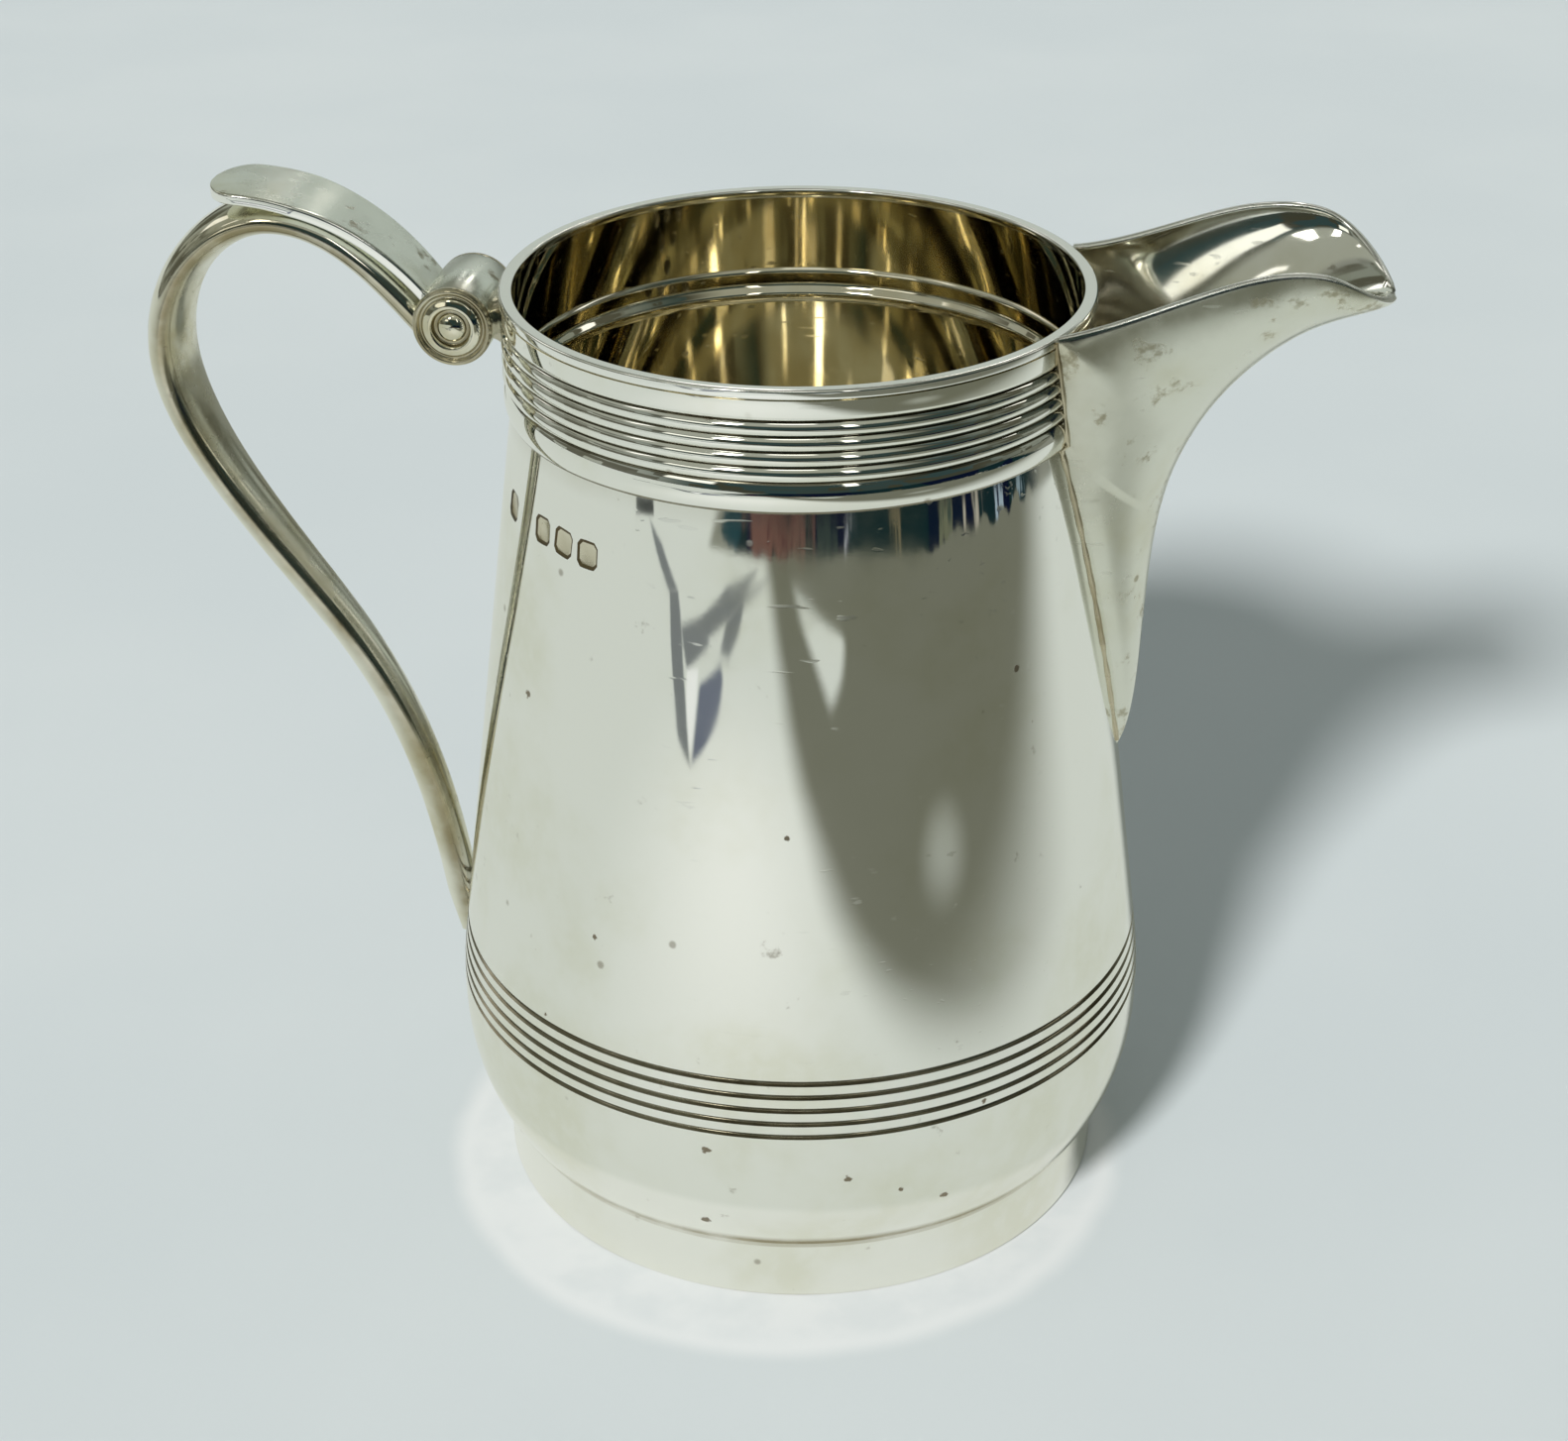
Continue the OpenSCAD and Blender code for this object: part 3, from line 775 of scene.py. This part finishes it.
THUMB_LINE = [(-35.4, 93.9), (-40.2, 101), (-47, 106.1), (-57.9, 105.5)]
THUMB_T = 1.1
THUMB_CORNER = 0.28
THUMB_ROOT_W, THUMB_FULL_W = 3.1, 5.0
THUMB_FULL_X, THUMB_TURN_X, THUMB_TURN_R = -49.0, -54.5, 3.42


def thumb_half_width(x):
    """Widens from the barrel to the full width, then closes in a half oval."""
    if x > THUMB_FULL_X:
        share = (BARREL_X - x) / (BARREL_X - THUMB_FULL_X)
        return mix(THUMB_ROOT_W, THUMB_FULL_W, min(max(share, 0), 1))
    if x > THUMB_TURN_X:
        return THUMB_FULL_W
    return THUMB_FULL_W * math.sqrt(max(1 - ((THUMB_TURN_X - x) / THUMB_TURN_R) ** 2, 0.0009))


def build_thumb_rest():
    n = 90
    rings = []
    for i in range(n + 1):
        t = math.sin(math.pi / 2 * i / n)
        x, z = bezier(THUMB_LINE, t)
        dx, dz = bezier_slope(THUMB_LINE, t)
        length = math.hypot(dx, dz)
        up = Vector((dz, 0, -dx)) / length
        centre = Vector((x, 0, z)) + up * THUMB_T / 2
        half_w = thumb_half_width(x)
        half_t = THUMB_T / 2 * min(1, half_w / 0.9)
        corner = min(THUMB_CORNER, 0.6 * half_t, 0.6 * half_w)
        wide, high = half_w - corner, half_t - corner
        ring = []
        for quarter, (side, top) in enumerate(((1, 1), (-1, 1), (-1, -1), (1, -1))):
            for k in range(7):
                a = math.radians(90 * quarter + 15 * k)
                ring.append((side * wide + corner * math.cos(a), top * high + corner * math.sin(a)))
            if side == top:
                # Two points just inside the corners keep the broad faces flat
                ring += [(top * wide * 0.94, top * half_t), (-top * wide * 0.94, top * half_t)]
        rings.append([tuple(centre + Vector((0, across, 0)) + up * lift) for across, lift in ring])
    verts, faces = skin_rings(rings)
    kinds = [1 if 11 < j < 19 or j > 27 or j < 3 else 0 for j in range(32)] * n + [1, 1]
    return make_object("jug_thumb_rest", verts, faces, [WORN, EDGE], kinds, 40)


thumb = build_thumb_rest()
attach(thumb, "root")
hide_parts("thumb_rest")


# ---- barrel ----

def turned_about_y(name, profile, material, radius=0.0, mirror=1, stain_and_shade=None):
    """Turns a profile of (r, distance along -Y) round the barrel's axis."""
    outline = round_corners(profile, radius) if radius else profile
    verts, faces, _ = lathe(outline, 96)
    verts = [(BARREL_X + x, -mirror * z, BARREL_Z + y) for x, y, z in verts]
    return make_object(name, verts, faces, [material], None, 40, stain_and_shade)


half_len = BARREL_LEN / 2
barrel_profile = [(AXIS_R, -half_len), (BARREL_R - 0.25, -half_len), (BARREL_R - 0.07, -half_len + 0.07),
                  (BARREL_R, -half_len + 0.25), (BARREL_R, half_len - 0.25),
                  (BARREL_R - 0.07, half_len - 0.07), (BARREL_R - 0.25, half_len), (AXIS_R, half_len)]
barrel = turned_about_y("jug_barrel", barrel_profile, WORN)
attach(barrel, "root")
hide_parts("barrel")

BOSS_DOME_R, BOSS_GROOVE, BOSS_EDGE = 1.45, 0.3, BARREL_R - 0.02
BOSS = [(AXIS_R, -0.2), (BOSS_EDGE, -0.2), (BOSS_EDGE, BOSS_GROOVE), (3.75, 0.6), (3.5, 0.6),
        (3.25, BOSS_GROOVE), (3.05, BOSS_GROOVE), (2.85, 0.6), (2.3, 0.85), (2.0, 0.8),
        (1.8, BOSS_GROOVE), (BOSS_DOME_R, BOSS_GROOVE)]
BOSS += [(BOSS_DOME_R * math.cos(math.radians(6 * k)), BOSS_GROOVE + 0.75 * math.sin(math.radians(6 * k)))
         for k in range(1, 15)] + [(AXIS_R, 1.05)]


def boss_stain(x, y, z):
    """Brown in the two grooves, and on the bead outside them."""
    r = math.hypot(x - BARREL_X, z - BARREL_Z)
    return 0.95 if BOSS_DOME_R - 0.05 < r < 1.95 else 0.7 if r > 2.95 else 0.0


for label, mirror in (("front", 1), ("rear", -1)):
    profile = [(r, half_len + z) for r, z in BOSS]
    boss = turned_about_y("jug_boss_" + label, profile, HANDLE, 0.1, mirror, boss_stain)
    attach(boss, "root")
    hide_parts("barrel_boss_" + label)


SADDLE_HALF_LEN, SADDLE_WAIST, SADDLE_FLARE, SADDLE_DEEP = 4, 1.9, 1.1, 1.6


def build_saddle():
    """The web between the barrel and the collar, waisted in the middle."""
    rings = []
    n = 24
    for i in range(n + 1):
        y = mix(-SADDLE_HALF_LEN, SADDLE_HALF_LEN, i / n)
        end = 1 - 0.35 * abs(2 * i / n - 1) ** 6
        edge = math.sqrt(COLLAR_R ** 2 - y * y) - 0.3
        upper, lower = [], []
        for t in (k / 8 for k in range(9)):
            x = mix(-edge, BARREL_X + SADDLE_DEEP, t)
            lift = end * (SADDLE_WAIST + SADDLE_FLARE * (2 * t - 1) ** 2)
            upper.append((x, y, BARREL_Z + lift))
            lower.append((x, y, BARREL_Z - lift))
        rings.append(upper + lower[::-1])
    verts, faces = skin_rings(rings)
    return make_object("jug_saddle", verts, faces, [HANDLE], None, 50, [0.7] * len(verts))


saddle = build_saddle()
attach(saddle, "root")
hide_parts("barrel_saddle")

# ---- stage: floor, light, surroundings and camera ----
#
# The silver shows what lies round the jug: a pale table, a soft shadow on it in front, the dark
# room past its edge and the lamps overhead. Only glossy rays see these, so every view keeps a
# plain pale floor and backdrop.


def separate(tree, vector):
    return node(tree, "ShaderNodeSeparateXYZ", {0: vector}).outputs


def mix_value(tree, factor, a, b):
    return node(tree, "ShaderNodeMix", {0: factor, 2: a, 3: b}).outputs[0]


def line_side(tree, x, y, through, normal, soft):
    """0 behind a line on the floor and 1 past it, with `soft` metres between."""
    nx, ny = Vector(normal).normalized()
    along = plus(tree, times(tree, x, nx), times(tree, y, ny))
    offset = through[0] * nx + through[1] * ny
    return ramp(tree, along, offset - soft / 2, offset + soft / 2)


def blob(tree, x, y, centre, radii, soft):
    """1 inside an ellipse on the floor, fading to 0 over the share `soft` of its size."""
    u = math_node(tree, "DIVIDE", minus(tree, x, centre[0]), radii[0])
    v = math_node(tree, "DIVIDE", minus(tree, y, centre[1]), radii[1])
    r = math_node(tree, "SQRT", plus(tree, times(tree, u, u), times(tree, v, v)))
    return ramp(tree, r, 1 - soft, 1.0, 1.0, 0.0)


def inside(tree, x, y, outline, soft):
    """1 inside a convex outline on the floor."""
    centre = sum((Vector(p) for p in outline), Vector((0, 0))) / len(outline)
    mask = 1.0
    for start, end in zip(outline, outline[1:] + outline[:1]):
        along = Vector(end) - Vector(start)
        normal = Vector((-along.y, along.x))
        if normal.dot(centre - Vector(start)) < 0:
            normal.negate()
        mask = times(tree, mask, line_side(tree, x, y, start, normal, soft))
    return mask


# The ring of light that the jug throws on the table round its foot, in metres
GLOW_CENTRE, GLOW_R = (-0.001, -0.0055), 0.0378
PAPER_GREY = (0.20, 0.215, 0.225, 1)
PAPER_BLUE = (0.15, 0.17, 0.23, 1)
PAPER_DARK = (0.03, 0.035, 0.035, 1)
PAPER_WHITE = (0.95, 0.96, 0.96, 1)
# Painted reflection of a folded paper in front of the jug, which only glossy rays see: outline in metres,
# softness and colour
PAPER = [
    ([(-0.321, -0.290), (-0.235, -0.291), (-0.221, -0.311), (-0.283, -0.311)], 0.008, PAPER_GREY),
    ([(-0.235, -0.293), (-0.200, -0.265), (-0.147, -0.225), (-0.118, -0.222), (-0.144, -0.248),
      (-0.190, -0.291), (-0.221, -0.311)], 0.006, PAPER_GREY),
    ([(-0.165, -0.277), (-0.138, -0.300), (-0.129, -0.251), (-0.118, -0.225), (-0.144, -0.247)], 0.006,
     PAPER_WHITE),
    ([(-0.196, -0.294), (-0.165, -0.277), (-0.138, -0.325), (-0.167, -0.330)], 0.008, PAPER_GREY),
    ([(-0.170, -0.325), (-0.125, -0.398), (-0.022, -0.473), (-0.095, -0.385), (-0.135, -0.325)], 0.006,
     PAPER_GREY),
    ([(-0.001, -0.456), (-0.076, -0.412), (-0.092, -0.385), (-0.040, -0.425)], 0.006, PAPER_GREY),
    ([(-0.076, -0.412), (-0.113, -0.362), (-0.116, -0.329), (-0.097, -0.332), (-0.084, -0.362)], 0.006,
     PAPER_GREY),
    ([(-0.138, -0.284), (-0.110, -0.319), (-0.100, -0.311), (-0.097, -0.285), (-0.103, -0.257),
      (-0.118, -0.225), (-0.129, -0.251)], 0.008, PAPER_BLUE),
    ([(-0.364, -0.262), (-0.343, -0.318), (-0.320, -0.306), (-0.342, -0.250)], 0.004, PAPER_DARK)]
# The light that falls between the shadow on the table and the shaded rim of the table
GLEAM = [(0.002, -0.469), (0.121, -0.408), (0.149, -0.342), (0.127, -0.307), (0.098, -0.297),
         (0.044, -0.435)]
TABLE_CENTRE, TABLE_R, INNER_TABLE_R = (0.0, -0.1), 0.382, 0.375
SHADE_COLOR, SHADE_DEPTH, RIM_SHADE_DEPTH = (0.05, 0.047, 0.006, 1), 0.81, 0.85


def floor_material():
    material = bpy.data.materials.new("stage_floor")
    material.use_nodes = True
    tree = material.node_tree
    shader = tree.nodes["Principled BSDF"]
    shader.inputs["Roughness"].default_value = 0.75
    shader.inputs["Specular IOR Level"].default_value = 0.15
    coords = node(tree, "ShaderNodeTexCoord").outputs["Object"]
    grain = noise(tree, coords, 9, 3)
    plain = mix_color(tree, ramp(tree, grain, 0.35, 0.7), (0.71, 0.765, 0.785, 1), (0.745, 0.795, 0.81, 1))
    x, y, _ = separate(tree, coords)
    wobble = times(tree, minus(tree, noise(tree, coords, 60, 2), 0.5), 0.004)
    glow_x = plus(tree, x, wobble)
    glow = blob(tree, glow_x, y, GLOW_CENTRE, (GLOW_R, GLOW_R), 0.08)
    within = blob(tree, glow_x, y, GLOW_CENTRE, (GLOW_R * 0.95, GLOW_R * 0.95), 0.08)
    mottled = ramp(tree, noise(tree, coords, 110, 3), 0.35, 0.65, 0.35, 0.62)
    bright = mix_color(tree, times(tree, glow, mix_value(tree, within, 0.66, mottled)), plain,
                       (0.97, 0.98, 0.98, 1))

    # What the silver shows of the table: warmer, brighter in front, with a soft shadow across it
    mirrored = mix_color(tree, blob(tree, x, y, (-0.04, -0.19), (0.16, 0.17), 1.0),
                         (0.735, 0.765, 0.725, 1), (0.97, 0.98, 0.95, 1))
    shade = times(tree,
                  line_side(tree, x, y, (0.035, -0.26), (0.958, -0.286), 0.04),
                  line_side(tree, x, y, (0.0, -0.108), (0.52, -0.85), 0.124))
    notch = blob(tree, x, y, (0.155, -0.115), (0.035, 0.035), 0.9)
    shade = times(tree, shade, minus(tree, 1.0, times(tree, notch, 0.35)))
    inner_table = blob(tree, x, y, TABLE_CENTRE, (INNER_TABLE_R, INNER_TABLE_R), 0.03)
    rim_shade = times(tree, minus(tree, 1.0, inner_table),
                      line_side(tree, x, y, (-0.19, 0), (1, 0), 0.02))
    shade = math_node(tree, "MAXIMUM", shade, times(tree, rim_shade, RIM_SHADE_DEPTH))
    shade = times(tree, shade, minus(tree, 1.0, inside(tree, x, y, GLEAM, 0.02)))
    mirrored = mix_color(tree, times(tree, shade, SHADE_DEPTH), mirrored, SHADE_COLOR)
    for outline, soft, color in PAPER:
        mirrored = mix_color(tree, inside(tree, x, y, outline, soft), mirrored, color)
    mirrored = mix_color(tree, times(tree, glow, 0.35), mirrored, (0.97, 0.98, 0.97, 1))
    glossy = node(tree, "ShaderNodeLightPath").outputs["Is Glossy Ray"]
    tree.links.new(mix_color(tree, glossy, bright, mirrored), shader.inputs["Base Color"])

    # Past the table's edge a glossy ray meets the room
    uneven = times(tree, minus(tree, noise(tree, coords, 16, 2), 0.5), 0.05)
    table = blob(tree, plus(tree, x, uneven), plus(tree, y, uneven), TABLE_CENTRE,
                 (TABLE_R, TABLE_R), 0.01)
    past = times(tree, glossy, minus(tree, 1.0, table),
                 line_side(tree, x, y, (-0.17, 0), (1, 0), 0.02),
                 line_side(tree, x, y, (0, 0.1), (0, -1), 0.06))
    clear = tree.nodes.new("ShaderNodeBsdfTransparent")
    both = tree.nodes.new("ShaderNodeMixShader")
    tree.links.new(past, both.inputs[0])
    tree.links.new(shader.outputs[0], both.inputs[1])
    tree.links.new(clear.outputs[0], both.inputs[2])
    tree.links.new(both.outputs[0], tree.nodes["Material Output"].inputs["Surface"])
    return material


bpy.ops.mesh.primitive_plane_add(size=8, location=(0, 0, 0))
floor = bpy.context.object
floor.name = "stage_floor"
floor.data.materials.append(floor_material())

AMBIENT = (0.26, 0.283, 0.27, 1)  # light from all round, which fills the shadow
BACKDROP = (0.66, 0.72, 0.74, 1)
# What the silver mirrors overhead. Each row: azimuth and elevation of the centre and the half
# sizes, in degrees, the softness of the edge as a share of the size, and the colour.
# First the broad pale walls, then the lamps and windows.
WALLS = [(88, 17, 42, 14, 0.4, (0.48, 0.52, 0.47)), (-120, 60, 100, 32, 0.25, (0.34, 0.355, 0.30))]
LAMPS = [(-112, 41, 6, 8, 0.3, (7.0, 6.9, 6.5)), (-62, 30, 3, 12, 0.3, (2.6, 2.57, 2.4)),
         (-86, 62, 16, 4, 0.3, (2.0, 1.98, 1.86)), (75, 42, 12, 6, 0.3, (0.9, 0.89, 0.84)),
         (150, 34, 10, 10, 0.3, (1.1, 1.09, 1.02)), (25, 35, 4, 14, 0.3, (1.3, 1.29, 1.2)),
         (-160, 47, 4, 7, 0.3, (1.4, 1.38, 1.3)), (100, 33, 2, 9, 0.3, (1.8, 1.78, 1.7)),
         (87, 37, 1.8, 9, 0.3, (5.6, 5.4, 5.0)), (-124, 22, 11, 6.5, 0.2, (1.15, 1.15, 1.03))]
# What it mirrors past the edge of the table, just below the horizon, from left to right
ROOM = [(-107, -10.2, 4, 0.5, 0.3, (0.015, 0.05, 0.06)), (-90, -9.9, 13, 0.75, 0.3, (0.14, 0.075, 0.06)),
        (-87, -9.9, 8, 0.15, 0.6, (0.04, 0.015, 0.02)), (-72, -10.4, 4, 0.8, 0.5, (0.03, 0.045, 0.04)),
        (-63.2, -9.8, 0.9, 0.09, 0.3, (0.9, 0.95, 1.0)), (-63, -10.1, 0.9, 0.08, 0.3, (0.8, 0.85, 0.9)),
        (-45, -10.6, 2.6, 1.3, 0.4, (0.17, 0.15, 0.09)), (-25, -11.5, 2.8, 0.7, 0.2, (0.13, 0.14, 0.09)),
        (-25, -11.5, 1.5, 0.4, 0.3, (0.04, 0.06, 0.05)), (-12, -12.4, 3.2, 1.2, 0.4, (0.36, 0.34, 0.28)),
        (0, -13.1, 2.2, 0.5, 0.3, (0.28, 0.36, 0.42)), (10, -14, 2.4, 0.35, 0.3, (0.22, 0.3, 0.34))]


def seen_patches(tree, azimuth, elevation, below, patches):
    """Lays soft-edged patches over the colour `below`."""
    for az, el, wide, high, soft, color in patches:
        # Distance round the azimuth is wrapped, so a patch may lie across the seam
        turn = minus(tree, azimuth, math.radians(az))
        turn = node(tree, "ShaderNodeMath", {0: turn, 1: math.pi, 2: -math.pi},
                    operation="WRAP").outputs[0]
        u = math_node(tree, "ABSOLUTE", math_node(tree, "DIVIDE", turn, math.radians(wide)))
        v = minus(tree, elevation, math.radians(el))
        v = math_node(tree, "ABSOLUTE", math_node(tree, "DIVIDE", v, math.radians(high)))
        mask = times(tree, *(ramp(tree, value, 1 - soft, 1.0, 1.0, 0.0) for value in (u, v)))
        below = mix_color(tree, mask, below, color + (1,))
    return below


def build_world():
    world = bpy.data.worlds.new("stage_world")
    bpy.context.scene.world = world
    world.use_nodes = True
    tree = world.node_tree
    background = tree.nodes["Background"]
    direction = node(tree, "ShaderNodeTexCoord").outputs["Generated"]
    x, y, z = separate(tree, direction)
    azimuth = node(tree, "ShaderNodeMath", {0: y, 1: x}, operation="ARCTAN2").outputs[0]
    elevation = node(tree, "ShaderNodeMath", {0: z}, operation="ARCSINE").outputs[0]

    back = ramp(tree, y, -0.35, 0.25)
    sky = mix_color(tree, back, (0.03, 0.055, 0.055, 1), (0.22, 0.24, 0.20, 1))
    sky = mix_color(tree, ramp(tree, x, -0.4, -0.95), sky, (0.34, 0.36, 0.31, 1))
    sky = mix_color(tree, ramp(tree, z, 0.75, 0.95), sky, (0.26, 0.27, 0.24, 1))
    # The room is broken up by dull furniture-sized blocks
    blocks = node(tree, "ShaderNodeTexVoronoi", {"Vector": direction, "Scale": 6.0, "Randomness": 0.7},
                  distance="CHEBYCHEV")
    pick = node(tree, "ShaderNodeSeparateColor", {0: blocks.outputs["Color"]}).outputs
    sky = mix_color(tree, ramp(tree, pick[0], 0.25, 0.75, 0.0, 0.8), sky, (0.05, 0.045, 0.025, 1))
    sky = seen_patches(tree, azimuth, elevation, sky, WALLS + LAMPS)

    # Below the horizon the room is nearly black, blue or green
    things = node(tree, "ShaderNodeTexVoronoi", {"Vector": direction, "Scale": 5.0, "Randomness": 1.0})
    kind = node(tree, "ShaderNodeSeparateColor", {0: things.outputs["Color"]}).outputs[0]
    room = mix_color(tree, ramp(tree, kind, 0.5, 0.6), (0.003, 0.006, 0.02, 1), (0.006, 0.02, 0.022, 1))
    bent_azimuth, bent_elevation = (
        plus(tree, value, times(tree, minus(tree, noise(tree, direction, scale, 2), 0.5), amount))
        for value, scale, amount in ((azimuth, 30, 0.3), (elevation, 16, 0.05)))
    room = seen_patches(tree, bent_azimuth, bent_elevation, room, ROOM)
    seen = mix_color(tree, ramp(tree, z, 0.0, -0.02), sky, room)

    rays = node(tree, "ShaderNodeLightPath").outputs
    plain = mix_color(tree, rays["Is Camera Ray"], AMBIENT, BACKDROP)
    tree.links.new(mix_color(tree, rays["Is Glossy Ray"], plain, seen), background.inputs["Color"])


build_world()

sun = bpy.data.lights.new("stage_key", "SUN")
sun.energy = 3.1
sun.angle = math.radians(9)
sun.color = (1.0, 0.995, 0.985)
key = bpy.data.objects.new("stage_key", sun)
# The silver mirrors the patches above instead of this lamp, whose glint would burn out
key.visible_glossy = False
KEY_FROM = Vector((-0.25, -0.765, 0.6))
key.rotation_euler = KEY_FROM.to_track_quat("Z", "Y").to_euler()
bpy.context.scene.collection.objects.link(key)

camera_data = bpy.data.cameras.new("camera")
camera_data.sensor_width = 36
camera_data.lens = 66.274
camera = bpy.data.objects.new("camera", camera_data)
pitch, yaw, roll = math.radians(28.4607), math.radians(-8.3527), math.radians(-0.3759)
forward = Vector((math.sin(yaw) * math.cos(pitch), math.cos(yaw) * math.cos(pitch), -math.sin(pitch)))
level = Vector((math.cos(yaw), -math.sin(yaw), 0))
above = level.cross(forward)
right = level * math.cos(roll) + above * math.sin(roll)
up = above * math.cos(roll) - level * math.sin(roll)
camera.matrix_world = Matrix.Translation((0.03708, -0.26387, 0.19453)) @ Matrix(
    (right, up, -forward)).transposed().to_4x4()
bpy.context.scene.collection.objects.link(camera)
bpy.context.scene.camera = camera

bpy.context.scene.view_settings.view_transform = "Standard"
# Light bounces many times between the mirror walls inside the jug
bpy.context.scene.cycles.glossy_bounces = 10
